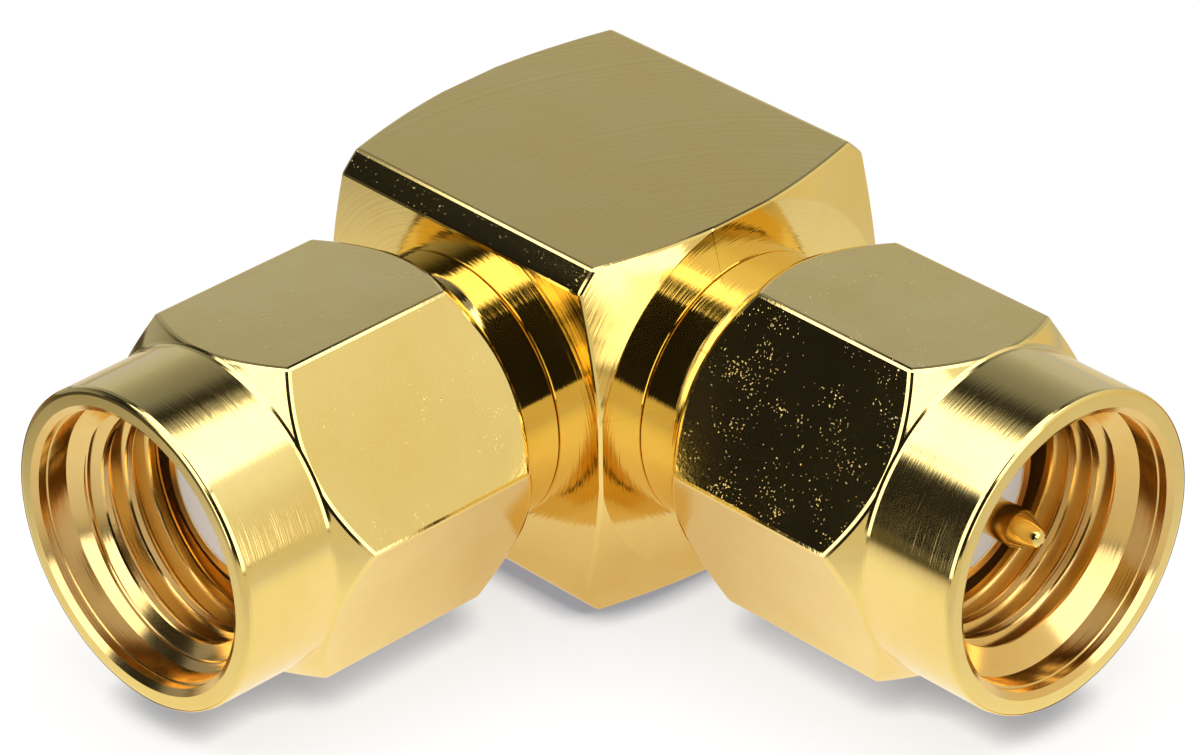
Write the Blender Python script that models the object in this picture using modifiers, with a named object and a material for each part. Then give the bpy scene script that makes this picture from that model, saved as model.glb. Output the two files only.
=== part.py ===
"""Right-angle coax adapter: a gold-plated block with two threaded hex coupling nuts at 90 degrees.

The pin arm points along +X and the socket arm along -Y. The origin is on the block's bottom
face, straight below the point where the two arm axes cross. Every piece of an arm is drawn in
that arm's own frame, whose Z axis runs out along the arm and whose Y axis points up, so a
"station" is a distance from the crossing of the axes.
"""

import math

import bmesh
import bpy

MM = 0.001

# Block: a round bar, turned about the pin arm's axis, with four flats milled along it
BLOCK_FLATS = 9.3 * MM
BAR_DIAMETER = 12.5 * MM
PIN_END = 4.75 * MM
BACK_END = 4.55 * MM
END_FLAT_DIAMETER = 9.4 * MM
END_CHAMFER_ANGLE = math.radians(21.5)

# Gaps: seats that are pressed together, and faces that slide or turn on each other
PRESS_GAP = 0.02 * MM
RUNNING_GAP = 0.05 * MM
RING_SIDE_GAP = 0.03 * MM

# Ferrule: the outer contact of an arm, pressed into the block up to its collar
COLLAR_DIAMETER = 6.78 * MM
COLLAR_LENGTH = 4.3 * MM
COLLAR_CHAMFER = 0.15 * MM
TAIL_DIAMETER = 5.5 * MM
TAIL_WEB = 0.35 * MM
NOSE_DIAMETER = 5.3 * MM
NOSE_CHAMFER = 0.32 * MM
FACE_REACH = 7.0 * MM

# Insulators and contacts
INSULATOR_DIAMETER = 4.12 * MM
CONTACT_DIAMETER = 1.27 * MM
CONTACT_SETBACK = 0.05 * MM
PIN_DIAMETER = 0.92 * MM
PIN_REACH = 9.45 * MM
PIN_CONE_LENGTH = 0.65 * MM
PIN_TIP_DIAMETER = 0.44 * MM
PIN_HEEL = 0.9 * MM
TAIL_PIN_DIAMETER = 0.6 * MM
SOCKET_BORE_DEPTH = 2.8 * MM
SOCKET_SLOT_WIDTH = 0.14 * MM
SOCKET_SLOT_DEPTH = 2.3 * MM
SOCKET_MOUTH_CHAMFER = 0.08 * MM

# Coupling nut
NUT_FLATS = 8.0 * MM
NUT_STANDOFF = 1.4 * MM
NUT_LENGTH = 8.69 * MM
NUT_HEX_END = 5.42 * MM
NUT_BACK_DIAMETER = 7.88 * MM
SKIRT_DIAMETER = 7.96 * MM
SKIRT_CHAMFER = 0.1 * MM
HEX_CHAMFER_ANGLE = math.radians(45)
THREAD_MINOR_DIAMETER = 5.64 * MM
THREAD_MAJOR_DIAMETER = 6.35 * MM
THREAD_LENGTH = 1.88 * MM
LEAD_CONE_LENGTH = 0.42 * MM
COUNTERBORE_DIAMETER = 6.74 * MM
COUNTERBORE_DEPTH = 0.78 * MM
COUNTERSINK_WIDTH = 0.19 * MM
COUNTERSINK_DEPTH = 0.11 * MM
PIN_NUT_TURN = math.radians(-6.9)
SOCKET_NUT_TURN = math.radians(6.0)
PIN_NUT_FORWARD = 0.2 * MM
NUT_PLAY = 0.35 * MM
NUT_PLAY_BACK = 0.05 * MM

# Snap ring: sits in a groove of the nut and slides in a wider groove of the collar
RING_THICKNESS = 0.5 * MM
RING_OUTER_DIAMETER = 7.24 * MM
RING_WIDTH = 0.67 * MM
RING_SPLIT = 1.2 * MM
RING_FROM_NUT_BACK = 1.58 * MM
RING_RADIAL_GAP = 0.08 * MM

# Facets round a full turn
BAR_FACETS = 96
NUT_FACETS = 56
FERRULE_FACETS = 48
SMALL_FACETS = 28

# Derived places, as stations along an arm
AXIS_HEIGHT = BLOCK_FLATS / 2
SOCKET_SEAT = BLOCK_FLATS / 2
PIN_SEAT = PIN_END
TAIL_END = TAIL_DIAMETER / 2 + TAIL_WEB
INSULATOR_BORE_DIAMETER = INSULATOR_DIAMETER + 2 * PRESS_GAP
CONTACT_BORE_DIAMETER = CONTACT_DIAMETER + 2 * PRESS_GAP
BORE_BOTTOM = INSULATOR_BORE_DIAMETER / 2
OVERRUN = 1.0 * MM

GOLD = (0.83, 0.61, 0.25)
GOLD_ROUGHNESS = 0.28
WHITE = (0.9, 0.88, 0.86)
WHITE_ROUGHNESS = 0.55
BRONZE = (0.62, 0.42, 0.2)
BRONZE_ROUGHNESS = 0.35


def clear_scene():
    for obj in list(bpy.data.objects):
        bpy.data.objects.remove(obj, do_unlink=True)


def new_collection(name):
    collection = bpy.data.collections.new(name)
    bpy.context.scene.collection.children.link(collection)
    return collection


def new_material(name, color, metallic, roughness):
    material = bpy.data.materials.new(name)
    material.use_nodes = True
    shader = material.node_tree.nodes["Principled BSDF"]
    shader.inputs["Base Color"].default_value = (*color, 1.0)
    shader.inputs["Metallic"].default_value = metallic
    shader.inputs["Roughness"].default_value = roughness
    material.diffuse_color = (*color, 1.0)
    return material


def arm_frame(name, heading):
    """An empty at the crossing of the axes: Z runs out along the arm and Y points up."""
    frame = bpy.data.objects.new(name, None)
    frame.empty_display_size = BLOCK_FLATS
    frame.location = (0.0, 0.0, AXIS_HEIGHT)
    frame.rotation_euler = (math.radians(90), 0.0, heading)
    bpy.context.scene.collection.objects.link(frame)
    return frame


def place(obj, collection, frame):
    collection.objects.link(obj)
    obj.parent = frame
    return obj


def turned(name, profile, facets, collection, frame, material=None):
    """A lathe-turned piece. Its profile is a list of (radius, station) points.

    The points run down the outer side, from the arm's mouth inwards, and back up the bore. A
    profile that starts or ends on the axis is solid there.
    """
    mesh = bpy.data.meshes.new(name)
    points = [(radius, 0.0, station) for radius, station in profile]
    edges = [(i, i + 1) for i in range(len(points) - 1)]
    if profile[0][0] > 0 and profile[-1][0] > 0:
        edges.append((len(points) - 1, 0))
    mesh.from_pydata(points, edges, [])
    if material:
        mesh.materials.append(material)
    obj = place(bpy.data.objects.new(name, mesh), collection, frame)
    lathe = obj.modifiers.new("Lathe", "SCREW")
    lathe.axis = "Z"
    lathe.angle = math.tau
    lathe.steps = facets
    lathe.render_steps = facets
    lathe.use_merge_vertices = True
    lathe.merge_threshold = 1e-7
    return obj


def as_cutter(obj):
    obj.hide_render = True
    obj.display_type = "WIRE"
    return obj


def box_cutter(name, size, centre, collection, frame):
    mesh = bpy.data.meshes.new(name)
    shape = bmesh.new()
    bmesh.ops.create_cube(shape, size=1.0)
    bmesh.ops.scale(shape, vec=size, verts=shape.verts)
    bmesh.ops.translate(shape, vec=centre, verts=shape.verts)
    shape.to_mesh(mesh)
    shape.free()
    return as_cutter(place(bpy.data.objects.new(name, mesh), collection, frame))


def rod_cutter(name, diameter, bottom, top, facets, collection, frame):
    profile = [(0.0, top), (diameter / 2, top), (diameter / 2, bottom), (0.0, bottom)]
    return as_cutter(turned(name, profile, facets, collection, frame))


def hex_cutter(name, flats, bottom, top, turn, collection, frame):
    """A hexagonal prism with a flat facing up, then turned about the arm's axis."""
    mesh = bpy.data.meshes.new(name)
    shape = bmesh.new()
    bmesh.ops.create_cone(
        shape, cap_ends=True, segments=6, radius1=flats / math.sqrt(3), radius2=flats / math.sqrt(3),
        depth=top - bottom,
    )
    bmesh.ops.translate(shape, vec=(0.0, 0.0, (top + bottom) / 2), verts=shape.verts)
    shape.to_mesh(mesh)
    shape.free()
    obj = as_cutter(place(bpy.data.objects.new(name, mesh), collection, frame))
    obj.rotation_euler = (0.0, 0.0, math.radians(30) + turn)
    return obj


def combine(obj, other, operation):
    cut = obj.modifiers.new(operation.title(), "BOOLEAN")
    cut.operation = operation
    cut.solver = "EXACT"
    cut.object = other


def finish(obj):
    """Keeps the modelled shape as a plain mesh, with round faces smooth and real edges sharp."""
    graph = bpy.context.evaluated_depsgraph_get()
    mesh = bpy.data.meshes.new_from_object(obj.evaluated_get(graph))
    obj.modifiers.clear()
    obj.data = mesh
    shape = bmesh.new()
    shape.from_mesh(mesh)
    bmesh.ops.remove_doubles(shape, verts=shape.verts, dist=1e-7)
    shape.to_mesh(mesh)
    shape.free()
    mesh.name = obj.name
    mesh.shade_smooth()
    mesh.set_sharp_from_angle(angle=math.radians(30))
    return obj


def make_block(arms, parts, cutters, material):
    """The elbow's block. Its flats cross the chamfered ends in bulging hyperbolas."""
    bar_radius = BAR_DIAMETER / 2
    flat_radius = END_FLAT_DIAMETER / 2
    chamfer = (bar_radius - flat_radius) * math.tan(END_CHAMFER_ANGLE)
    profile = [
        (0.0, PIN_END),
        (flat_radius, PIN_END),
        (bar_radius, PIN_END - chamfer),
        (bar_radius, -BACK_END + chamfer),
        (flat_radius, -BACK_END),
        (0.0, -BACK_END),
    ]
    block = turned("elbow_body", profile, BAR_FACETS, parts, arms["pin"], material)
    length = PIN_END + BACK_END + 2 * OVERRUN
    middle = (0.0, 0.0, (PIN_END - BACK_END) / 2)
    flats = box_cutter("block_flats", (BLOCK_FLATS, BLOCK_FLATS, length), middle, cutters, arms["pin"])
    combine(block, flats, "INTERSECT")
    for arm, seat, bottom in (("pin", PIN_SEAT, -BORE_BOTTOM), ("socket", SOCKET_SEAT, 0.0)):
        tail_radius = TAIL_DIAMETER / 2 + PRESS_GAP
        bore_radius = INSULATOR_BORE_DIAMETER / 2
        bore = turned(
            f"{arm}_bore",
            [
                (0.0, seat + OVERRUN),
                (tail_radius, seat + OVERRUN),
                (tail_radius, TAIL_END - PRESS_GAP),
                (bore_radius, TAIL_END - PRESS_GAP),
                (bore_radius, bottom),
                (0.0, bottom),
            ],
            FERRULE_FACETS, cutters, arms[arm],
        )
        combine(block, as_cutter(bore), "DIFFERENCE")
    return finish(block)


def make_ferrule(arm, seat, parts, frame, material):
    """The arm's outer contact: a tail in the block, a collar that carries the nut, and a nose."""
    ring_back = seat + NUT_STANDOFF + RING_FROM_NUT_BACK
    groove_bottom = ring_back - NUT_PLAY_BACK - RING_SIDE_GAP
    groove_top = groove_bottom + RING_THICKNESS + NUT_PLAY + 2 * RING_SIDE_GAP
    groove_radius = RING_OUTER_DIAMETER / 2 - RING_WIDTH - RING_RADIAL_GAP
    collar = COLLAR_DIAMETER / 2
    nose = NOSE_DIAMETER / 2
    bore = INSULATOR_BORE_DIAMETER / 2
    face = seat + FACE_REACH
    collar_end = seat + COLLAR_LENGTH
    profile = [
        (nose - NOSE_CHAMFER, face),
        (nose, face - NOSE_CHAMFER),
        (nose, collar_end),
        (collar - COLLAR_CHAMFER, collar_end),
        (collar, collar_end - COLLAR_CHAMFER),
        (collar, groove_top),
        (groove_radius, groove_top),
        (groove_radius, groove_bottom),
        (collar, groove_bottom),
        (collar, seat + PRESS_GAP),
        (TAIL_DIAMETER / 2, seat + PRESS_GAP),
        (TAIL_DIAMETER / 2, TAIL_END),
        (bore, TAIL_END),
        (bore, face),
    ]
    return finish(turned(f"{arm}_ferrule", profile, FERRULE_FACETS, parts, frame, material))


def make_ring(arm, seat, forward, parts, cutters, frame, material):
    """A split snap ring that holds the nut on the collar and lets it turn."""
    back = seat + NUT_STANDOFF + RING_FROM_NUT_BACK + forward
    front = back + RING_THICKNESS
    outer = RING_OUTER_DIAMETER / 2
    inner = outer - RING_WIDTH
    profile = [(outer, front), (outer, back), (inner, back), (inner, front)]
    ring = turned(f"{arm}_snap_ring", profile, FERRULE_FACETS, parts, frame, material)
    split = box_cutter(
        f"{arm}_ring_split",
        (RING_SPLIT, RING_OUTER_DIAMETER, 2 * RING_THICKNESS),
        (0.0, -RING_OUTER_DIAMETER / 2, (back + front) / 2),
        cutters, frame,
    )
    combine(ring, split, "DIFFERENCE")
    return finish(ring)


def make_nut(arm, seat, forward, turn, parts, cutters, frame, material):
    """The coupling nut: turned with a skirt and stepped bore from hexagonal bar."""
    back = seat + NUT_STANDOFF + forward
    rim = back + NUT_LENGTH
    corner = NUT_FLATS / math.sqrt(3)
    skirt = SKIRT_DIAMETER / 2
    back_radius = NUT_BACK_DIAMETER / 2
    slope = math.tan(HEX_CHAMFER_ANGLE)
    hex_end = back + NUT_HEX_END
    collar_bore = COLLAR_DIAMETER / 2 + RUNNING_GAP
    groove_radius = RING_OUTER_DIAMETER / 2 + RING_RADIAL_GAP
    groove_bottom = back + RING_FROM_NUT_BACK - RING_SIDE_GAP
    groove_top = groove_bottom + RING_THICKNESS + 2 * RING_SIDE_GAP
    relief = THREAD_MAJOR_DIAMETER / 2 + RUNNING_GAP
    collar_bore_end = back + COLLAR_LENGTH - NUT_STANDOFF + NUT_PLAY + RUNNING_GAP
    minor = THREAD_MINOR_DIAMETER / 2
    counterbore = COUNTERBORE_DIAMETER / 2
    counterbore_top = rim - COUNTERSINK_DEPTH
    lead_top = counterbore_top - COUNTERBORE_DEPTH
    lead_bottom = lead_top - LEAD_CONE_LENGTH
    profile = [
        (skirt - SKIRT_CHAMFER, rim),
        (skirt, rim - SKIRT_CHAMFER),
        (skirt, hex_end + (corner - skirt) * slope),
        (corner, hex_end),
        (corner, back + (corner - back_radius) * slope),
        (back_radius, back),
        (collar_bore, back),
        (collar_bore, groove_bottom),
        (groove_radius, groove_bottom),
        (groove_radius, groove_top),
        (collar_bore, groove_top),
        (collar_bore, collar_bore_end),
        (relief, collar_bore_end),
        (relief, lead_bottom - THREAD_LENGTH),
        (minor, lead_bottom - THREAD_LENGTH),
        (minor, lead_bottom),
        (counterbore, lead_top),
        (counterbore, counterbore_top),
        (counterbore + COUNTERSINK_WIDTH, rim),
    ]
    nut = turned(f"{arm}_nut", profile, NUT_FACETS, parts, frame, material)
    hexagon = hex_cutter(
        f"{arm}_hex", NUT_FLATS, back - OVERRUN, rim + OVERRUN, turn, cutters, frame
    )
    combine(nut, hexagon, "INTERSECT")
    return finish(nut)


def make_pin_insulator(arms, parts, cutters, material):
    """The pin arm's insulator, which runs on past the crossing and is cross-drilled there."""
    outer = INSULATOR_DIAMETER / 2
    face = PIN_SEAT + FACE_REACH
    heel = -PIN_HEEL - PRESS_GAP
    bottom = PRESS_GAP - BORE_BOTTOM
    profile = [(0.0, face), (outer, face), (outer, bottom), (0.0, bottom)]
    insulator = turned("pin_insulator", profile, FERRULE_FACETS, parts, arms["pin"], material)
    for name, arm, start in (("pin_contact_bore", "pin", heel), ("cross_bore", "socket", 0.0)):
        cutter = rod_cutter(
            name, CONTACT_BORE_DIAMETER, start, face + OVERRUN, SMALL_FACETS, cutters, arms[arm]
        )
        combine(insulator, cutter, "DIFFERENCE")
    return finish(insulator)


def make_socket_insulator(parts, frame, material):
    """The socket arm's insulator, which ends against the side of the pin arm's."""
    outer = INSULATOR_DIAMETER / 2
    bore = CONTACT_BORE_DIAMETER / 2
    face = SOCKET_SEAT + FACE_REACH
    heel = outer + PRESS_GAP
    profile = [(outer, face), (outer, heel), (bore, heel), (bore, face)]
    return finish(turned("socket_insulator", profile, FERRULE_FACETS, parts, frame, material))


def make_pin_contact(arms, parts, cutters, material):
    """The centre pin: a pointed front, a thick shank and a cross-drilled heel."""
    shank = CONTACT_DIAMETER / 2
    pin = PIN_DIAMETER / 2
    shoulder = PIN_SEAT + FACE_REACH - CONTACT_SETBACK
    tip = PIN_SEAT + PIN_REACH
    profile = [
        (0.0, tip),
        (PIN_TIP_DIAMETER / 2, tip),
        (pin, tip - PIN_CONE_LENGTH),
        (pin, shoulder),
        (shank, shoulder),
        (shank, -PIN_HEEL),
        (0.0, -PIN_HEEL),
    ]
    contact = turned("pin_contact", profile, SMALL_FACETS, parts, arms["pin"], material)
    hole = rod_cutter(
        "pin_cross_hole", TAIL_PIN_DIAMETER + 2 * PRESS_GAP, -CONTACT_DIAMETER, CONTACT_DIAMETER,
        SMALL_FACETS, cutters, arms["socket"],
    )
    combine(contact, hole, "DIFFERENCE")
    return finish(contact)


def make_socket_contact(arms, parts, cutters, material):
    """The centre socket: four spring fingers in front and a thin tail in the pin's cross hole."""
    shank = CONTACT_DIAMETER / 2
    tail = TAIL_PIN_DIAMETER / 2
    bore = PIN_DIAMETER / 2 + PRESS_GAP
    front = SOCKET_SEAT + FACE_REACH - CONTACT_SETBACK
    shoulder = shank + PRESS_GAP
    profile = [
        (shank, front),
        (shank, shoulder),
        (tail, shoulder),
        (tail, -tail),
        (0.0, -tail),
    ]
    bore_profile = [
        (0.0, front - SOCKET_BORE_DEPTH),
        (bore, front - SOCKET_BORE_DEPTH),
        (bore, front - SOCKET_MOUTH_CHAMFER),
        (bore + SOCKET_MOUTH_CHAMFER, front),
    ]
    frame = arms["socket"]
    contact = turned(
        "socket_contact", profile + bore_profile, SMALL_FACETS, parts, frame, material
    )
    for name, turn in (("finger_slot_a", 0), ("finger_slot_b", 1)):
        size = [SOCKET_SLOT_WIDTH, SOCKET_SLOT_WIDTH, SOCKET_SLOT_DEPTH + OVERRUN]
        size[turn] = 2 * CONTACT_DIAMETER
        middle = (0.0, 0.0, front - (SOCKET_SLOT_DEPTH - OVERRUN) / 2)
        combine(contact, box_cutter(name, size, middle, cutters, frame), "DIFFERENCE")
    return finish(contact)


def main():
    clear_scene()
    parts = new_collection("coax_adapter")
    cutters = new_collection("cutters")
    gold = new_material("gold_plate", GOLD, 1.0, GOLD_ROUGHNESS)
    white = new_material("white_insulator", WHITE, 0.0, WHITE_ROUGHNESS)
    bronze = new_material("spring_bronze", BRONZE, 1.0, BRONZE_ROUGHNESS)
    arms = {
        "pin": arm_frame("pin_arm_axis", math.radians(90)),
        "socket": arm_frame("socket_arm_axis", 0.0),
    }
    make_block(arms, parts, cutters, gold)
    for arm, seat, forward, turn in (
        ("pin", PIN_SEAT, PIN_NUT_FORWARD, PIN_NUT_TURN),
        ("socket", SOCKET_SEAT, 0.0, SOCKET_NUT_TURN),
    ):
        make_ferrule(arm, seat, parts, arms[arm], gold)
        make_ring(arm, seat, forward, parts, cutters, arms[arm], bronze)
        make_nut(arm, seat, forward, turn, parts, cutters, arms[arm], gold)
    make_pin_insulator(arms, parts, cutters, white)
    make_socket_insulator(parts, arms["socket"], white)
    make_pin_contact(arms, parts, cutters, gold)
    make_socket_contact(arms, parts, cutters, gold)


main()
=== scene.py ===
import math

import bmesh
import bpy
from mathutils import Matrix, Vector


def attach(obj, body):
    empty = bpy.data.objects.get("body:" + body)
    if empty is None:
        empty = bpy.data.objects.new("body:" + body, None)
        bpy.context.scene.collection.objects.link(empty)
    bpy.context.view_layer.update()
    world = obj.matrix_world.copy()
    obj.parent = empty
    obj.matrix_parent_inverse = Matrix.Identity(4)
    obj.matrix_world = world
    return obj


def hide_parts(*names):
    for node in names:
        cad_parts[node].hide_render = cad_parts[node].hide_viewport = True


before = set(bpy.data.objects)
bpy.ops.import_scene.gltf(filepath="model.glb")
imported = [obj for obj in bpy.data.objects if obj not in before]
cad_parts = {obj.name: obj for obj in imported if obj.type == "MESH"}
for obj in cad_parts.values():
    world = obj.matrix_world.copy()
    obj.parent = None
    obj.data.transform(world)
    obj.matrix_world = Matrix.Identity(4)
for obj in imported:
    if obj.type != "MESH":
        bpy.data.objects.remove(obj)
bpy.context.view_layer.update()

MM = 0.001


# ---- Elbow block ----
# The body of the elbow: brass bar turned about the pin arm's axis, with a flat faced end and a
# shallow cone at each end, then four flats milled along it. Bored twice for the ferrules, edges
# broken by hand, and gold plated.

AXIS_HEIGHT = 4.65 * MM
# Each arm is modelled along Z, its Y pointing up, and then laid in its place
PIN_ARM = Matrix(((0, 0, 1, 0), (1, 0, 0, 0), (0, 1, 0, AXIS_HEIGHT), (0, 0, 0, 1)))
SOCKET_ARM = Matrix(((1, 0, 0, 0), (0, 0, -1, 0), (0, 1, 0, AXIS_HEIGHT), (0, 0, 0, 1)))
LATHE_STEPS = 180


def turn_on_lathe(outline, steps=LATHE_STEPS):
    """Spins an outline of (radius, length) points, in mm, about the arm's axis."""
    work = bmesh.new()
    points = [work.verts.new((radius * MM, 0, length * MM)) for radius, length in outline]
    edges = [work.edges.new(pair) for pair in zip(points, points[1:])]
    bmesh.ops.spin(
        work, geom=points + edges, cent=(0, 0, 0), axis=(0, 0, 1), dvec=(0, 0, 0), angle=math.tau,
        steps=steps, use_merge=True, use_normal_flip=False, use_duplicate=False,
    )
    close_skin(work)
    return work


def close_skin(work):
    """Joins the points that lie on one another and turns every face outward."""
    bmesh.ops.remove_doubles(work, verts=work.verts, dist=1e-7)
    bmesh.ops.recalc_face_normals(work, faces=work.faces)


def mill_flat(work, direction, distance):
    """Takes off everything beyond a plane and closes the cut with one flat face."""
    normal = Vector(direction).normalized()
    everything = work.verts[:] + work.edges[:] + work.faces[:]
    cut = bmesh.ops.bisect_plane(
        work, geom=everything, dist=1e-7, plane_co=normal * distance * MM, plane_no=normal,
        clear_outer=True, clear_inner=False,
    )
    rim = [item for item in cut["geom_cut"] if isinstance(item, bmesh.types.BMEdge)]
    bmesh.ops.contextual_create(work, geom=rim)


def break_edges(work, width, beyond=0.0):
    """Rounds the edges that turn by more than 30 degrees and lie so many mm off the axis."""
    sharp = [
        edge for edge in work.edges
        if len(edge.link_faces) == 2 and edge.calc_face_angle(0) > math.radians(30)
        and min(end.co.xy.length for end in edge.verts) > beyond * MM
    ]
    bmesh.ops.bevel(
        work, geom=sharp, offset=width * MM, offset_type="OFFSET", affect="EDGES",
        segments=2, profile=0.5, material=-1, clamp_overlap=False,
    )


def cut_away(piece, tools):
    """Takes the shape of each tool out of a piece, then throws the tools away."""
    for tool in tools:
        cut = piece.modifiers.new("cut", "BOOLEAN")
        cut.object = tool
        cut.operation = "DIFFERENCE"
        cut.solver = "EXACT"
    graph = bpy.context.evaluated_depsgraph_get()
    mesh = bpy.data.meshes.new_from_object(piece.evaluated_get(graph))
    piece.modifiers.clear()
    piece.data = mesh
    for tool in tools:
        bpy.data.objects.remove(tool)
    shade(piece)


def shade(piece):
    """Smooth shading that keeps every real edge sharp."""
    piece.data.shade_smooth()
    piece.data.set_sharp_from_angle(angle=math.radians(9))


def lay_in_place(name, work, arm, *finishes):
    """Makes a piece of the work, laid along its arm, with its finishes in their slots."""
    work.transform(arm)
    bmesh.ops.recalc_face_normals(work, faces=work.faces)
    mesh = bpy.data.meshes.new(name)
    work.to_mesh(mesh)
    work.free()
    for finish in finishes:
        mesh.materials.append(finish)
    piece = bpy.data.objects.new(name, mesh)
    bpy.context.scene.collection.objects.link(piece)
    shade(piece)
    return piece


# Gold plate, as it looks where it is thin and pale, and where dirt has settled in the grain
GOLD_PALE = (0.94, 0.75, 0.31)
GOLD_DEEP = (0.87, 0.65, 0.22)


def gold_plate(name, roughness, unevenness=0.04, pale=GOLD_PALE, deep=GOLD_DEEP):
    """Plated brass. The tool marks are added to it by the functions below."""
    finish = bpy.data.materials.new(name)
    finish.use_nodes = True
    nodes, links = finish.node_tree.nodes, finish.node_tree.links
    shader = nodes["Principled BSDF"]
    shader.inputs["Metallic"].default_value = 1.0
    place = nodes.new("ShaderNodeTexCoord")
    clouds = nodes.new("ShaderNodeTexNoise")
    clouds.inputs["Scale"].default_value = 260
    clouds.inputs["Detail"].default_value = 8
    clouds.inputs["Roughness"].default_value = 0.62
    links.new(place.outputs["Object"], clouds.inputs["Vector"])
    tint = nodes.new("ShaderNodeMix")
    tint.data_type = "RGBA"
    tint.inputs["A"].default_value = (*pale, 1)
    tint.inputs["B"].default_value = (*deep, 1)
    depth_of_dirt = nodes.new("ShaderNodeMapRange")
    depth_of_dirt.inputs["From Min"].default_value = 0.3
    depth_of_dirt.inputs["From Max"].default_value = 0.7
    links.new(clouds.outputs["Fac"], depth_of_dirt.inputs["Value"])
    links.new(depth_of_dirt.outputs["Result"], tint.inputs["Factor"])
    links.new(tint.outputs["Result"], shader.inputs["Base Color"])
    dullness = nodes.new("ShaderNodeMapRange")
    dullness.inputs["From Min"].default_value = 0.3
    dullness.inputs["From Max"].default_value = 0.7
    dullness.inputs["To Min"].default_value = roughness - unevenness
    dullness.inputs["To Max"].default_value = roughness + unevenness
    links.new(clouds.outputs["Fac"], dullness.inputs["Value"])
    links.new(dullness.outputs["Result"], shader.inputs["Roughness"])
    return finish


def add_relief(finish, pattern, depth):
    """Raises the surface by a pattern, whose full height is depth mm."""
    nodes, links = finish.node_tree.nodes, finish.node_tree.links
    relief = nodes.new("ShaderNodeBump")
    relief.inputs["Strength"].default_value = 1
    relief.inputs["Distance"].default_value = depth * MM
    links.new(pattern, relief.inputs["Height"])
    normal = nodes["Principled BSDF"].inputs["Normal"]
    if normal.is_linked:
        links.new(normal.links[0].from_socket, relief.inputs["Normal"])
    links.new(relief.outputs["Normal"], normal)


def add_grain(finish, size, depth, stretch=(1, 1, 1), detail=2):
    """Fine grain of so many mm. A direction with a small stretch has its grain drawn out."""
    nodes, links = finish.node_tree.nodes, finish.node_tree.links
    place = nodes.new("ShaderNodeTexCoord")
    scaled = nodes.new("ShaderNodeMapping")
    scaled.inputs["Scale"].default_value = stretch
    grain = nodes.new("ShaderNodeTexNoise")
    grain.inputs["Scale"].default_value = 1 / (size * MM)
    grain.inputs["Detail"].default_value = detail
    links.new(place.outputs["Object"], scaled.inputs["Vector"])
    links.new(scaled.outputs["Vector"], grain.inputs["Vector"])
    add_relief(finish, grain.outputs["Fac"], depth)


def add_ring_marks(finish, centre, flat_along, pitch, depth):
    """Marks that a tool leaves as it sweeps round a centre, so many mm apart."""
    nodes, links = finish.node_tree.nodes, finish.node_tree.links
    place = nodes.new("ShaderNodeTexCoord")
    seen = nodes.new("ShaderNodeMapping")
    keep = Vector((1, 1, 1)) - Vector(flat_along)
    seen.inputs["Scale"].default_value = keep
    seen.inputs["Location"].default_value = -Vector(centre) * keep * MM
    reach = nodes.new("ShaderNodeVectorMath")
    reach.operation = "LENGTH"
    marks = nodes.new("ShaderNodeTexNoise")
    marks.noise_dimensions = "1D"
    marks.inputs["Scale"].default_value = 1 / (pitch * MM)
    marks.inputs["Detail"].default_value = 3
    links.new(place.outputs["Object"], seen.inputs["Vector"])
    links.new(seen.outputs["Vector"], reach.inputs[0])
    links.new(reach.outputs["Value"], marks.inputs["W"])
    add_relief(finish, marks.outputs["Fac"], depth)


def add_specks(finish, size, level, depth):
    """Scatters dents of so many mm, in clusters. A higher level leaves fewer of them."""
    nodes, links = finish.node_tree.nodes, finish.node_tree.links
    place = nodes.new("ShaderNodeTexCoord")
    dents = nodes.new("ShaderNodeTexNoise")
    dents.inputs["Scale"].default_value = 1 / (size * MM)
    dents.inputs["Detail"].default_value = 1
    clusters = nodes.new("ShaderNodeTexNoise")
    clusters.inputs["Scale"].default_value = 1 / (14 * size * MM)
    crowd = nodes.new("ShaderNodeMath")
    crowd.operation = "MULTIPLY_ADD"
    crowd.inputs[1].default_value = 0.5
    pick = nodes.new("ShaderNodeMapRange")
    pick.inputs["From Min"].default_value = level
    pick.inputs["From Max"].default_value = level + 0.08
    links.new(place.outputs["Object"], dents.inputs["Vector"])
    links.new(place.outputs["Object"], clusters.inputs["Vector"])
    links.new(clusters.outputs["Fac"], crowd.inputs[0])
    links.new(dents.outputs["Fac"], crowd.inputs[2])
    links.new(crowd.outputs["Value"], pick.inputs["Value"])
    add_relief(finish, pick.outputs["Result"], -depth)


milled_flat = gold_plate("gold, milled flat", 0.30, 0.03)
add_grain(milled_flat, 0.05, 0.003)
add_ring_marks(milled_flat, (7.7, -2.5, 0), (0, 0, 1), 0.16, 0.005)
spot_faced = gold_plate("gold, spot-faced", 0.07, 0.03)
add_ring_marks(spot_faced, (0, 0, 4.65), (0, 1, 0), 0.09, 0.0025)
faced_end = gold_plate("gold, faced on the lathe", 0.08, 0.03)
add_ring_marks(faced_end, (0, 0, 4.65), (1, 0, 0), 0.09, 0.002)
bar_skin = gold_plate("gold, bar skin", 0.08, 0.02)
add_specks(bar_skin, 0.06, 1.0, 0.004)

FLAT = 4.65
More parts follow.
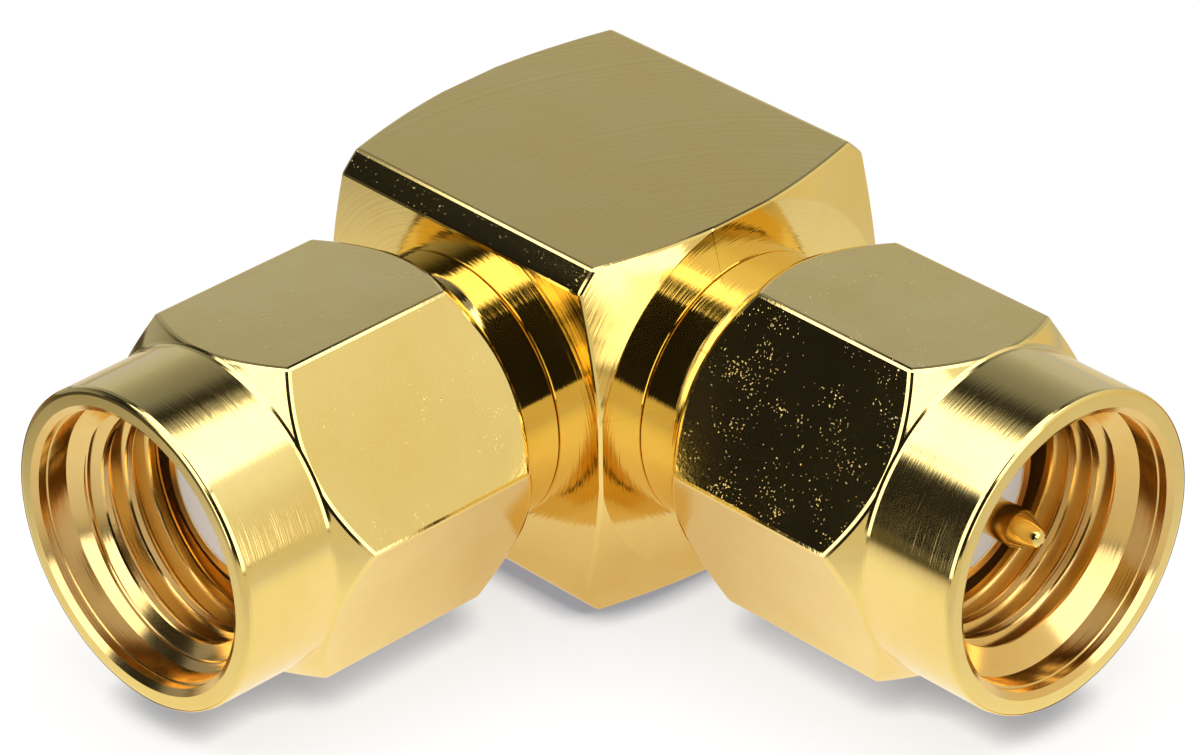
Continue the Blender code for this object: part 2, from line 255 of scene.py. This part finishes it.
# The bar's skin and the flat end each run out on the milled flats at an angle
BAR_RADIUS = FLAT / math.cos(math.radians(42))
FACE_RADIUS = FLAT / math.cos(math.radians(8))
PIN_END = 4.75
BACK_END = 4.55
CONE_RISE = 0.615
BORE_RADIUS = 2.08
SEAT_RADIUS = 2.77
SEAT_DEPTH = 3.08
block_work = turn_on_lathe([
    (0, -2.1), (BORE_RADIUS, -2.1), (BORE_RADIUS, SEAT_DEPTH), (SEAT_RADIUS, SEAT_DEPTH),
    (SEAT_RADIUS, PIN_END), (FACE_RADIUS, PIN_END), (BAR_RADIUS, PIN_END - CONE_RISE),
    (BAR_RADIUS, CONE_RISE - BACK_END), (FACE_RADIUS, -BACK_END), (0, -BACK_END),
])
for direction in ((1, 0, 0), (-1, 0, 0), (0, 1, 0), (0, -1, 0)):
    mill_flat(block_work, direction, FLAT)
# The mills leave edges too short to break, so their ends are drawn together on the flat
slivers = [edge for edge in block_work.edges if edge.calc_length() < 0.03 * MM]
corners = [edge.verts[0] for edge in slivers]
bmesh.ops.collapse(block_work, edges=slivers)
for corner in (vertex for vertex in corners if vertex.is_valid):
    wide = 0 if abs(corner.co.x) > abs(corner.co.y) else 1
    corner.co[wide] = math.copysign(FLAT * MM, corner.co[wide])
    corner.co.z = PIN_END * MM if corner.co.z > 0 else -BACK_END * MM
break_edges(block_work, 0.07, beyond=4.6)
elbow_block = lay_in_place(
    "elbow_block", block_work, PIN_ARM, milled_flat, spot_faced, faced_end, bar_skin
)
boring_bar = turn_on_lathe([
    (0, FLAT + 1), (SEAT_RADIUS, FLAT + 1), (SEAT_RADIUS, SEAT_DEPTH), (BORE_RADIUS, SEAT_DEPTH),
    (BORE_RADIUS, 0), (0, 0),
])
cut_away(elbow_block, [lay_in_place("socket_bore_tool", boring_bar, SOCKET_ARM)])
for face in elbow_block.data.polygons:
    if abs(face.normal.x) > 0.3:
        face.material_index = 2
    elif face.normal.y < -0.999:
        face.material_index = 1
    elif max(abs(face.normal.y), abs(face.normal.z)) > 0.999:
        face.material_index = 0
    else:
        face.material_index = 3
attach(elbow_block, "adapter")
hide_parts("elbow_body")


# ---- Ferrules ----
# The outer contact of each arm: a tube turned from brass and plated, pressed into the block up
# to its collar. The collar is polished, carries the nut and has a groove for the snap ring.

polished_turning = {
    "pin": gold_plate("gold, polished turning, pin arm", 0.06, 0.02),
    "socket": gold_plate("gold, polished turning, socket arm", 0.06, 0.02),
}
add_grain(polished_turning["pin"], 0.05, 0.0012, (1, 0.03, 0.03))
add_grain(polished_turning["socket"], 0.05, 0.0012, (0.03, 1, 0.03))
# Inside the nuts the plate is painted browner, a painted shade for the dim light that bounces
# between the gold walls there
BORE_PALE_SHADED = (0.93, 0.68, 0.29)
BORE_DEEP_SHADED = (0.82, 0.55, 0.19)
# The faced tube end sits inside the nut, so it takes the same browner painted shade
tube_front = gold_plate("gold, faced tube end", 0.3, 0.05, BORE_PALE_SHADED, BORE_DEEP_SHADED)
FERRULE_FACE = 7.0
TUBE_RADIUS = 2.65
COLLAR_RADIUS = 3.39
for arm, seat, frame_of_arm in (("pin", PIN_END, PIN_ARM), ("socket", FLAT, SOCKET_ARM)):
    face = seat + FERRULE_FACE
    ferrule_work = turn_on_lathe([
        (2.33, face), (TUBE_RADIUS, face - 0.32), (TUBE_RADIUS, seat + 4.3),
        (3.24, seat + 4.3), (COLLAR_RADIUS, seat + 4.15), (COLLAR_RADIUS, seat + 3.79),
        (2.87, seat + 3.79), (2.87, seat + 2.9), (COLLAR_RADIUS, seat + 2.9),
        (COLLAR_RADIUS, seat + 0.02), (2.75, seat + 0.02), (2.75, 3.1), (BORE_RADIUS, 3.1),
        (BORE_RADIUS, face), (2.33, face),
    ])
    break_edges(ferrule_work, 0.03)
    ferrule = lay_in_place(
        f"{arm}_outer_contact", ferrule_work, frame_of_arm, polished_turning[arm], tube_front
    )
    for face_of_tube in ferrule.data.polygons:
        if (frame_of_arm.inverted() @ face_of_tube.center).z > (seat + 4.2) * MM:
            face_of_tube.material_index = 1
    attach(ferrule, "adapter")
    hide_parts(f"{arm}_ferrule")


# ---- Insulators ----
# Rods of white fluoropolymer, turned and bored, pushed into the ferrules. The pin arm's runs on
# past the crossing, where it is cross-drilled; the socket arm's ends against its side.

white_rod = bpy.data.materials.new("white fluoropolymer")
white_rod.use_nodes = True
rod_nodes, rod_links = white_rod.node_tree.nodes, white_rod.node_tree.links
rod_shader = rod_nodes["Principled BSDF"]
rod_shader.inputs["Roughness"].default_value = 0.5
rod_shader.inputs["Subsurface Weight"].default_value = 0.15
rod_shader.inputs["Subsurface Radius"].default_value = (0.3, 0.28, 0.25)
rod_shader.inputs["Subsurface Scale"].default_value = 0.001
rod_place = rod_nodes.new("ShaderNodeTexCoord")
rod_clouds = rod_nodes.new("ShaderNodeTexNoise")
rod_clouds.inputs["Scale"].default_value = 900
rod_tint = rod_nodes.new("ShaderNodeMix")
rod_tint.data_type = "RGBA"
rod_tint.inputs["A"].default_value = (0.97, 0.93, 0.90, 1)
rod_tint.inputs["B"].default_value = (0.93, 0.88, 0.85, 1)
rod_links.new(rod_place.outputs["Object"], rod_clouds.inputs["Vector"])
rod_links.new(rod_clouds.outputs["Fac"], rod_tint.inputs["Factor"])
rod_links.new(rod_tint.outputs["Result"], rod_shader.inputs["Base Color"])
add_grain(white_rod, 0.08, 0.002)

ROD_RADIUS = 2.06
ROD_BORE = 0.655
for arm, seat, heel, frame_of_arm in (
    ("pin", PIN_END, -ROD_RADIUS, PIN_ARM), ("socket", FLAT, BORE_RADIUS, SOCKET_ARM)
):
    face = seat + FERRULE_FACE
    bore_end = -0.92 if arm == "pin" else heel
    outline = [(ROD_BORE, face), (ROD_RADIUS, face), (ROD_RADIUS, heel)]
    if arm == "pin":
        outline += [(0, heel), (0, bore_end)]
    outline += [(ROD_BORE, bore_end), (ROD_BORE, face)]
    insulator = lay_in_place(
        f"{arm}_dielectric", turn_on_lathe(outline, 96), frame_of_arm, white_rod
    )
    if arm == "pin":
        drill = turn_on_lathe([(0, 3), (ROD_BORE, 3), (ROD_BORE, 0), (0, 0)], 48)
        cut_away(insulator, [lay_in_place("cross_drill", drill, SOCKET_ARM)])
    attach(insulator, "adapter")
    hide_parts(f"{arm}_insulator")


# ---- Centre pin ----
# Turned from brass rod and plated: a slim pin with a cone to a blunt tip, and a thick shank
# whose heel is cross-drilled for the tail of the other contact.

pin_gold = gold_plate("gold, small turning", 0.10, 0.03)
add_grain(pin_gold, 0.03, 0.0005, (1, 0.2, 0.2))
PIN_TIP = 14.2
PIN_RADIUS = 0.46
SHANK_END = 11.7
SHANK_RADIUS = 0.635
pin_work = turn_on_lathe([
    (0, PIN_TIP), (0.08, PIN_TIP - 0.006), (0.15, PIN_TIP - 0.03), (0.205, PIN_TIP - 0.075),
    (0.24, PIN_TIP - 0.14), (0.45, PIN_TIP - 0.65), (PIN_RADIUS, PIN_TIP - 0.68),
    (PIN_RADIUS, SHANK_END), (SHANK_RADIUS, SHANK_END), (SHANK_RADIUS, -0.9), (0, -0.9),
], 64)
centre_pin = lay_in_place("centre_pin", pin_work, PIN_ARM, pin_gold)
pin_drill = turn_on_lathe([(0, 1), (0.32, 1), (0.32, -1), (0, -1)], 32)
cut_away(centre_pin, [lay_in_place("pin_drill", pin_drill, SOCKET_ARM)])
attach(centre_pin, "adapter")
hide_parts("pin_contact")


# ---- Centre socket ----
# Turned, bored and sawn into four spring fingers, then plated. Its thin tail stands in the
# cross hole of the centre pin.

SOCKET_FRONT = 11.6
TAIL_START = 0.655
TAIL_RADIUS = 0.3
socket_work = turn_on_lathe([
    (0.56, SOCKET_FRONT), (SHANK_RADIUS, SOCKET_FRONT), (SHANK_RADIUS, TAIL_START),
    (TAIL_RADIUS, TAIL_START), (TAIL_RADIUS, -0.3), (0, -0.3), (0, SOCKET_FRONT - 2.8),
    (0.48, SOCKET_FRONT - 2.8), (0.48, SOCKET_FRONT - 0.08), (0.56, SOCKET_FRONT),
], 64)
centre_socket = lay_in_place("centre_socket", socket_work, SOCKET_ARM, pin_gold)
saws = []
for size in ((2.6, 0.14, 3.3), (0.14, 2.6, 3.3)):
    saw_work = bmesh.new()
    bmesh.ops.create_cube(saw_work, size=MM)
    bmesh.ops.scale(saw_work, vec=size, verts=saw_work.verts)
    bmesh.ops.translate(saw_work, vec=(0, 0, (SOCKET_FRONT - 0.65) * MM), verts=saw_work.verts)
    saws.append(lay_in_place("saw", saw_work, SOCKET_ARM))
cut_away(centre_socket, saws)
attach(centre_socket, "adapter")
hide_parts("socket_contact")


# ---- Snap rings ----
# A split ring of bare spring bronze in each nut. It snaps into the groove of the collar, and
# lets the nut turn and slide a little without coming off.

spring_bronze = gold_plate("spring bronze, bare", 0.3)
add_grain(spring_bronze, 0.04, 0.001)
for arm in ("pin", "socket"):
    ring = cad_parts[f"{arm}_snap_ring"]
    ring.data.materials.clear()
    ring.data.materials.append(spring_bronze)


# ---- Coupling nuts ----
# Turned from hexagonal brass bar: a round skirt in front, chamfers at both ends of the hexagon,
# and a stepped bore with a single-point 1/4-36 thread behind a plain land. The snap ring sits
# in the bore's groove.

NUT_FLAT = 4.0
NUT_BACK_RADIUS = 3.94
SKIRT_RADIUS = 3.98
BLANK_RADIUS = 4.75
HEX_CORNER = 4.6188
NUT_LENGTH = 8.69
HEX_END = 5.42
# From the back: the pocket for the collar, with the ring's groove in it, and the undercut
POCKET_RADIUS = 3.44
GROOVE_RADIUS = 3.7
UNDERCUT_RADIUS = 3.225
CREST_RADIUS = 2.82
ROOT_RADIUS = 3.175
THREAD_PITCH = 0.7056
THREAD_BACK = 5.25
THREAD_STEPS = 120
# A face nearer to the axis than this belongs to the bore, or behind the thread to the undercut
BORE_REACH = 3.55
UNDERCUT_REACH = 3.9


def thread_tap(start):
    """The tap that cuts the thread. A tooth of it crosses the arm's X axis at start, in mm."""
    half_tooth = [(ROOT_RADIUS, 0.03), (3.145, 0.061), (2.85, 0.232), (2.828, 0.267), (2.8, 0.332)]
    # It starts three turns further back, so that its open end lies behind the cut at its back
    tooth = start - 3 * THREAD_PITCH
    outline = [(radius, tooth - half) for radius, half in reversed(half_tooth)]
    outline += [(radius, tooth + half) for radius, half in half_tooth]
    outline.append((2.8, tooth - 0.332 + THREAD_PITCH))
    turns = 9
    tap = bmesh.new()
    points = [tap.verts.new((radius * MM, 0, length * MM)) for radius, length in outline]
    edges = [tap.edges.new(pair) for pair in zip(points, points[1:])]
    bmesh.ops.spin(
        tap, geom=points + edges, cent=(0, 0, 0), axis=(0, 0, 1),
        dvec=(0, 0, THREAD_PITCH * MM / THREAD_STEPS), angle=math.tau * turns,
        steps=THREAD_STEPS * turns, use_merge=False, use_normal_flip=False, use_duplicate=False,
    )
    bmesh.ops.remove_doubles(tap, verts=tap.verts, dist=2e-7)
    for height, outer in ((THREAD_BACK - 0.5, False), (NUT_LENGTH - 0.5, True)):
        cut = bmesh.ops.bisect_plane(
            tap, geom=tap.verts[:] + tap.edges[:] + tap.faces[:], dist=1e-7,
            plane_co=(0, 0, height * MM), plane_no=(0, 0, 1), clear_outer=outer,
            clear_inner=not outer,
        )
        rim = [item for item in cut["geom_cut"] if isinstance(item, bmesh.types.BMEdge)]
        bmesh.ops.contextual_create(tap, geom=rim)
    close_skin(tap)
    return tap


def nut_blank(turn):
    """A nut before its thread is cut: back face at zero, hexagon turned by so many degrees."""
    slope_in = BLANK_RADIUS - NUT_BACK_RADIUS
    work = turn_on_lathe([
        (UNDERCUT_RADIUS, THREAD_BACK), (UNDERCUT_RADIUS, 3.3), (POCKET_RADIUS, 3.3),
        (POCKET_RADIUS, 2.11), (GROOVE_RADIUS, 2.11), (GROOVE_RADIUS, 1.55), (POCKET_RADIUS, 1.55),
        (POCKET_RADIUS, 0), (NUT_BACK_RADIUS, 0), (BLANK_RADIUS, slope_in),
        (BLANK_RADIUS, HEX_END + HEX_CORNER - BLANK_RADIUS),
        (SKIRT_RADIUS, HEX_END + HEX_CORNER - SKIRT_RADIUS),
        (SKIRT_RADIUS, NUT_LENGTH - 0.08), (SKIRT_RADIUS - 0.08, NUT_LENGTH), (3.56, NUT_LENGTH),
        (3.4, NUT_LENGTH - 0.11), (3.4, 8.36), (3.36, 8.34), (3.36, 7.8), (CREST_RADIUS, 7.38),
        (CREST_RADIUS, THREAD_BACK), (UNDERCUT_RADIUS, THREAD_BACK),
    ])
    for side in range(6):
        angle = math.radians(90 + turn + 60 * side)
        mill_flat(work, (math.cos(angle), math.sin(angle), 0), NUT_FLAT)
    break_edges(work, 0.08, beyond=3.85)
    return work


# The undercut takes the bore's browner painted shade as well
undercut_gold = gold_plate("gold, undercut of a nut", 0.45, 0.05, BORE_PALE_SHADED, BORE_DEEP_SHADED)
for arm, back, turn, thread_start, frame_of_arm, along, dented in (
    ("pin", 6.35, -6.9, 5.855, PIN_ARM, (1, 0.02, 0.02), 0.99),
    ("socket", 6.05, 6.0, 5.663, SOCKET_ARM, (0.02, 1, 0.02), 1.03),
):
    hex_gold = gold_plate(f"gold, milled hexagon of the {arm} nut", 0.10, 0.03)
    add_grain(hex_gold, 0.09, 0.002)
    add_specks(hex_gold, 0.06, dented, 0.005)
    turned_gold = gold_plate(f"gold, turned skirt of the {arm} nut", 0.11, 0.03)
    add_grain(turned_gold, 0.05, 0.0022, along, 3)
    # The bore is painted browner, a painted shade inside the nut
    bored_gold = gold_plate(f"gold, bore of the {arm} nut", 0.15, 0.04, BORE_PALE_SHADED, BORE_DEEP_SHADED)
    add_grain(bored_gold, 0.06, 0.003, along, 3)
    seat_of_nut = frame_of_arm @ Matrix.Translation((0, 0, back * MM))
    nut = lay_in_place(
        f"{arm}_coupling_nut", nut_blank(turn), seat_of_nut, hex_gold, turned_gold, bored_gold,
        undercut_gold,
    )
    cut_away(nut, [lay_in_place(f"{arm}_tap", thread_tap(thread_start), seat_of_nut)])
    out_along_arm = frame_of_arm.col[2].xyz
    for face in nut.data.polygons:
        spot = seat_of_nut.inverted() @ face.center
        off_axis = spot.xy.length / MM
        lies_along = abs(face.normal.dot(out_along_arm)) < 0.1
        if off_axis < UNDERCUT_REACH and spot.z < THREAD_BACK * MM and lies_along:
            face.material_index = 3
        elif off_axis < BORE_REACH:
            face.material_index = 2
        elif spot.z < HEX_END * MM and lies_along:
            face.material_index = 0
        else:
            face.material_index = 1
    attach(nut, f"{arm}_nut_body")
    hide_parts(f"{arm}_nut")


# ---- Table and lights ----
# A white table that glows a little, a softbox overhead, white cards on both sides of the camera
# and on the right, and a paper sweep behind that falls into shade. Only reflections see the
# cards, the sweep and the dark room around them.

RIGHT = Vector((0.696, 0.718, 0))
AWAY = Vector((-0.718, 0.696, 0))
CARD_DISTANCE = 0.07
WHITE_LIGHT = (1, 0.99, 0.97)


def only_in_reflections(item):
    item.visible_camera = False
    item.visible_diffuse = False
    item.visible_shadow = False
    item.visible_transmission = False


def glowing(name, colour, strength):
    paint = bpy.data.materials.new(name)
    paint.use_nodes = True
    shader = paint.node_tree.nodes["Principled BSDF"]
    shader.inputs["Base Color"].default_value = (0, 0, 0, 1)
    shader.inputs["Specular IOR Level"].default_value = 0
    shader.inputs["Emission Color"].default_value = (*colour, 1)
    shader.inputs["Emission Strength"].default_value = strength
    return paint


def bent_card(name, from_angle, to_angle, height, paint):
    """A sheet that stands in an arc round the part. Its angles run from behind to the right."""
    work = bmesh.new()
    start = math.radians(from_angle)
    spot = (RIGHT * math.sin(start) + AWAY * math.cos(start)) * CARD_DISTANCE
    foot = [work.verts.new(spot + Vector((0, 0, level))) for level in (0, height)]
    side = work.edges.new(foot)
    bmesh.ops.spin(
        work, geom=foot + [side], cent=(0, 0, 0), axis=(0, 0, -1), dvec=(0, 0, 0),
        angle=math.radians(to_angle - from_angle), steps=48, use_merge=False,
        use_normal_flip=False, use_duplicate=False,
    )
    mesh = bpy.data.meshes.new(name)
    work.to_mesh(mesh)
    work.free()
    mesh.materials.append(paint)
    item = bpy.data.objects.new(name, mesh)
    bpy.context.scene.collection.objects.link(item)
    only_in_reflections(item)


def colour_by_height(paint, top, stops):
    """Gives a sheet so many metres high its colours, from the foot up."""
    nodes, links = paint.node_tree.nodes, paint.node_tree.links
    place = nodes.new("ShaderNodeTexCoord")
    split = nodes.new("ShaderNodeSeparateXYZ")
    share = nodes.new("ShaderNodeMath")
    share.operation = "DIVIDE"
    share.inputs[1].default_value = top
    ramp = nodes.new("ShaderNodeValToRGB")
    links.new(place.outputs["Object"], split.inputs["Vector"])
    links.new(split.outputs["Z"], share.inputs[0])
    links.new(share.outputs["Value"], ramp.inputs["Fac"])
    fill_ramp(ramp, stops)
    links.new(ramp.outputs["Color"], nodes["Principled BSDF"].inputs["Emission Color"])


def fill_ramp(ramp, stops):
    while len(ramp.color_ramp.elements) < len(stops):
        ramp.color_ramp.elements.new(0.5)
    for element, (position, colour) in zip(ramp.color_ramp.elements, stops):
        element.position = position
        element.color = (*colour, 1)


# The right card takes a warm tone from the table at its foot. The two in front are brighter.
CARD_HEIGHT = 0.085
side_paint = glowing("right card", WHITE_LIGHT, 1)
colour_by_height(side_paint, CARD_HEIGHT, (
    (0.05, (0.76, 0.66, 0.46)), (0.25, (0.78, 0.69, 0.50)), (0.45, (0.82, 0.77, 0.62)),
    (0.68, (0.95, 0.94, 0.82)), (0.9, (1, 1, 1)),
))
bent_card("right_card", 58, 117, CARD_HEIGHT, side_paint)
right_front_paint = glowing("right front card", WHITE_LIGHT, 2.2)
colour_by_height(right_front_paint, CARD_HEIGHT, (
    (0.035, (0.16, 0.15, 0.12)), (0.055, WHITE_LIGHT),
))
bent_card("right_front_card", 117, 150.5, CARD_HEIGHT, right_front_paint)
left_front_paint = glowing("left front card", WHITE_LIGHT, 2.2)
bent_card("left_front_card", -150.5, -116, CARD_HEIGHT, left_front_paint)

# The sweep is light at the foot and dark at the top, and darker still towards the left. Its
# strength goes by the share of its height, in the middle and on the left.
SWEEP_HEIGHT = 0.105
MIDDLE_SHADES = (
    (0, 0.66), (0.26, 0.64), (0.35, 0.52), (0.46, 0.41), (0.575, 0.33), (0.79, 0.23), (0.89, 0.13),
    (1, 0.03),
)
LEFT_SHADES = (
    (0, 0.42), (0.09, 0.38), (0.19, 0.3), (0.28, 0.2), (0.38, 0.07), (0.43, 0.03), (0.61, 0.02),
    (1, 0.02),
)
paper = glowing("paper sweep", (0.85, 0.88, 0.93), 1)
paper_nodes, paper_links = paper.node_tree.nodes, paper.node_tree.links
paper_place = paper_nodes.new("ShaderNodeTexCoord")
paper_split = paper_nodes.new("ShaderNodeSeparateXYZ")
paper_height = paper_nodes.new("ShaderNodeMath")
paper_height.operation = "DIVIDE"
paper_height.inputs[1].default_value = SWEEP_HEIGHT
paper_links.new(paper_place.outputs["Object"], paper_split.inputs["Vector"])
paper_links.new(paper_split.outputs["Z"], paper_height.inputs[0])
shades = []
for spots in (MIDDLE_SHADES, LEFT_SHADES):
    shade_curve = paper_nodes.new("ShaderNodeFloatCurve")
    curve = shade_curve.mapping.curves[0]
    curve.points[0].location = spots[0]
    curve.points[1].location = spots[-1]
    for spot in spots[1:-1]:
        curve.points.new(*spot)
    shade_curve.mapping.update()
    paper_links.new(paper_height.outputs["Value"], shade_curve.inputs["Value"])
    shades.append(shade_curve)
leftwards = paper_nodes.new("ShaderNodeVectorMath")
leftwards.operation = "DOT_PRODUCT"
leftwards.inputs[1].default_value = -RIGHT
paper_links.new(paper_place.outputs["Object"], leftwards.inputs[0])
left_share = paper_nodes.new("ShaderNodeMapRange")
left_share.interpolation_type = "SMOOTHSTEP"
left_share.inputs["From Min"].default_value = 0.4 * CARD_DISTANCE
left_share.inputs["From Max"].default_value = 0.97 * CARD_DISTANCE
paper_links.new(leftwards.outputs["Value"], left_share.inputs["Value"])
paper_mix = paper_nodes.new("ShaderNodeMix")
paper_links.new(left_share.outputs["Result"], paper_mix.inputs["Factor"])
paper_links.new(shades[0].outputs["Value"], paper_mix.inputs["A"])
paper_links.new(shades[1].outputs["Value"], paper_mix.inputs["B"])
paper_shader = paper_nodes["Principled BSDF"]
paper_links.new(paper_mix.outputs["Result"], paper_shader.inputs["Emission Strength"])
bent_card("paper_sweep", -42, 58, SWEEP_HEIGHT, paper)
bent_card("paper_sweep_left", -90, -42, 0.08, paper)

room_work = bmesh.new()
bmesh.ops.create_uvsphere(room_work, u_segments=32, v_segments=16, radius=0.6)
room_mesh = bpy.data.meshes.new("dark_room")
room_work.to_mesh(room_mesh)
room_work.free()
room_mesh.materials.append(glowing("dark room", (1, 0.95, 0.85), 0.012))
room = bpy.data.objects.new("dark_room", room_mesh)
bpy.context.scene.collection.objects.link(room)
only_in_reflections(room)

floor_work = bmesh.new()
bmesh.ops.create_grid(floor_work, x_segments=1, y_segments=1, size=2)
floor_mesh = bpy.data.meshes.new("table")
floor_work.to_mesh(floor_mesh)
floor_work.free()
table_top = bpy.data.materials.new("table top")
table_top.use_nodes = True
top_nodes, top_links = table_top.node_tree.nodes, table_top.node_tree.links
top_shader = top_nodes["Principled BSDF"]
top_shader.inputs["Base Color"].default_value = (0.2, 0.2, 0.2, 1)
top_shader.inputs["Roughness"].default_value = 1
top_shader.inputs["Specular IOR Level"].default_value = 0
# A thin cool shadow where the part all but touches the table
contact = top_nodes.new("ShaderNodeAmbientOcclusion")
contact.inputs["Distance"].default_value = 1.1 * MM
contact_fall = top_nodes.new("ShaderNodeValToRGB")
fill_ramp(contact_fall, ((0.45, (0.22, 0.24, 0.29)), (0.85, (0.74, 0.74, 0.74))))
top_links.new(contact.outputs["AO"], contact_fall.inputs["Fac"])
top_links.new(contact_fall.outputs["Color"], top_shader.inputs["Emission Color"])
top_shader.inputs["Emission Strength"].default_value = 1
# What the part's reflections see of it, painted on: warm and dimmer between the arms, a painted
# shade with painted light thrown back from the gold, and dark beyond its left edge
top_glow = top_nodes.new("ShaderNodeEmission")
top_path = top_nodes.new("ShaderNodeLightPath")
top_mix = top_nodes.new("ShaderNodeMixShader")
top_place = top_nodes.new("ShaderNodeTexCoord")
top_reach = top_nodes.new("ShaderNodeVectorMath")
top_reach.operation = "DISTANCE"
top_reach.inputs[1].default_value = AWAY * -0.003
top_share = top_nodes.new("ShaderNodeMath")
top_share.operation = "DIVIDE"
top_share.inputs[1].default_value = 0.03
top_tone = top_nodes.new("ShaderNodeValToRGB")
fill_ramp(top_tone, (
    (0.12, (0.75, 0.61, 0.46)), (0.28, (1.04, 0.96, 0.84)), (0.42, (1.0, 0.95, 0.77)),
    (0.7, (0.73, 0.69, 0.62)), (1, (0.73, 0.66, 0.5)),
))
top_leftwards = top_nodes.new("ShaderNodeVectorMath")
top_leftwards.operation = "DOT_PRODUCT"
top_leftwards.inputs[1].default_value = RIGHT
top_fall = top_nodes.new("ShaderNodeMapRange")
top_fall.interpolation_type = "SMOOTHSTEP"
top_fall.inputs["From Min"].default_value = -0.034
top_fall.inputs["From Max"].default_value = -0.014
top_fall.inputs["To Min"].default_value = 0.1
top_links.new(top_place.outputs["Object"], top_reach.inputs[0])
top_links.new(top_reach.outputs["Value"], top_share.inputs[0])
top_links.new(top_share.outputs["Value"], top_tone.inputs["Fac"])
top_links.new(top_tone.outputs["Color"], top_glow.inputs["Color"])
top_links.new(top_place.outputs["Object"], top_leftwards.inputs[0])
top_links.new(top_leftwards.outputs["Value"], top_fall.inputs["Value"])
top_links.new(top_fall.outputs["Result"], top_glow.inputs["Strength"])
top_links.new(top_path.outputs["Is Glossy Ray"], top_mix.inputs["Fac"])
top_links.new(top_shader.outputs["BSDF"], top_mix.inputs[1])
top_links.new(top_glow.outputs["Emission"], top_mix.inputs[2])
top_links.new(top_mix.outputs["Shader"], top_nodes["Material Output"].inputs["Surface"])
floor_mesh.materials.append(table_top)
table = bpy.data.objects.new("table", floor_mesh)
bpy.context.scene.collection.objects.link(table)

# The softbox is brightest in the middle: a wide lamp, and a smaller one in front of it.
# Each has its width, its near and far edge and its radiance, the lengths by its height.
for name, height, width, near, far, radiance in (
    ("softbox", 0.2, 2.5, -0.52, 0.57, 0.35), ("softbox_core", 0.198, 2.3, -0.5, 0.44, 2.15)
):
    lamp = bpy.data.lights.new(name, "AREA")
    lamp.shape = "RECTANGLE"
    lamp.size = width * height
    lamp.size_y = (far - near) * height
    lamp.energy = radiance * math.pi * lamp.size * lamp.size_y
    lamp.color = WHITE_LIGHT
    softbox = bpy.data.objects.new(name, lamp)
    softbox.matrix_world = (
        Matrix.Translation(Vector((0, 0, height)) + AWAY * (near + far) / 2 * height)
        @ Matrix((RIGHT, AWAY, Vector((0, 0, 1)))).transposed().to_4x4()
    )
    bpy.context.scene.collection.objects.link(softbox)

world = bpy.data.worlds.new("studio")
bpy.context.scene.world = world
world.use_nodes = True
air_nodes, air_links = world.node_tree.nodes, world.node_tree.links
air_path = air_nodes.new("ShaderNodeLightPath")
air_seen = air_nodes.new("ShaderNodeMath")
air_seen.operation = "MAXIMUM"
air_clear = air_nodes.new("ShaderNodeMath")
air_clear.operation = "MAXIMUM"
air_mix = air_nodes.new("ShaderNodeMix")
air_mix.data_type = "RGBA"
air_mix.inputs["A"].default_value = (0.9, 0.9, 0.9, 1)
air_mix.inputs["B"].default_value = (1, 1, 1, 1)
air_links.new(air_path.outputs["Is Camera Ray"], air_seen.inputs[0])
air_links.new(air_path.outputs["Is Glossy Ray"], air_seen.inputs[1])
air_links.new(air_seen.outputs["Value"], air_clear.inputs[0])
air_links.new(air_path.outputs["Is Transmission Ray"], air_clear.inputs[1])
air_links.new(air_clear.outputs["Value"], air_mix.inputs["Factor"])
air_links.new(air_mix.outputs["Result"], air_nodes["Background"].inputs["Color"])

# The camera looks down at the elbow's corner from about 31 degrees, from some 14 cm away
camera_data = bpy.data.cameras.new("camera")
camera_data.lens = 172.4
camera_data.sensor_width = 36
camera_data.clip_start = 0.01
camera = bpy.data.objects.new("camera", camera_data)
camera.matrix_world = Matrix((
    (0.69607, -0.36752, 0.61677, 0.08557),
    (0.71785, 0.37205, -0.58845, -0.08174),
    (-0.01320, 0.85235, 0.52280, 0.07075 + AXIS_HEIGHT),
    (0, 0, 0, 1),
))
bpy.context.scene.collection.objects.link(camera)
bpy.context.scene.camera = camera
bpy.context.scene.view_settings.view_transform = "Standard"
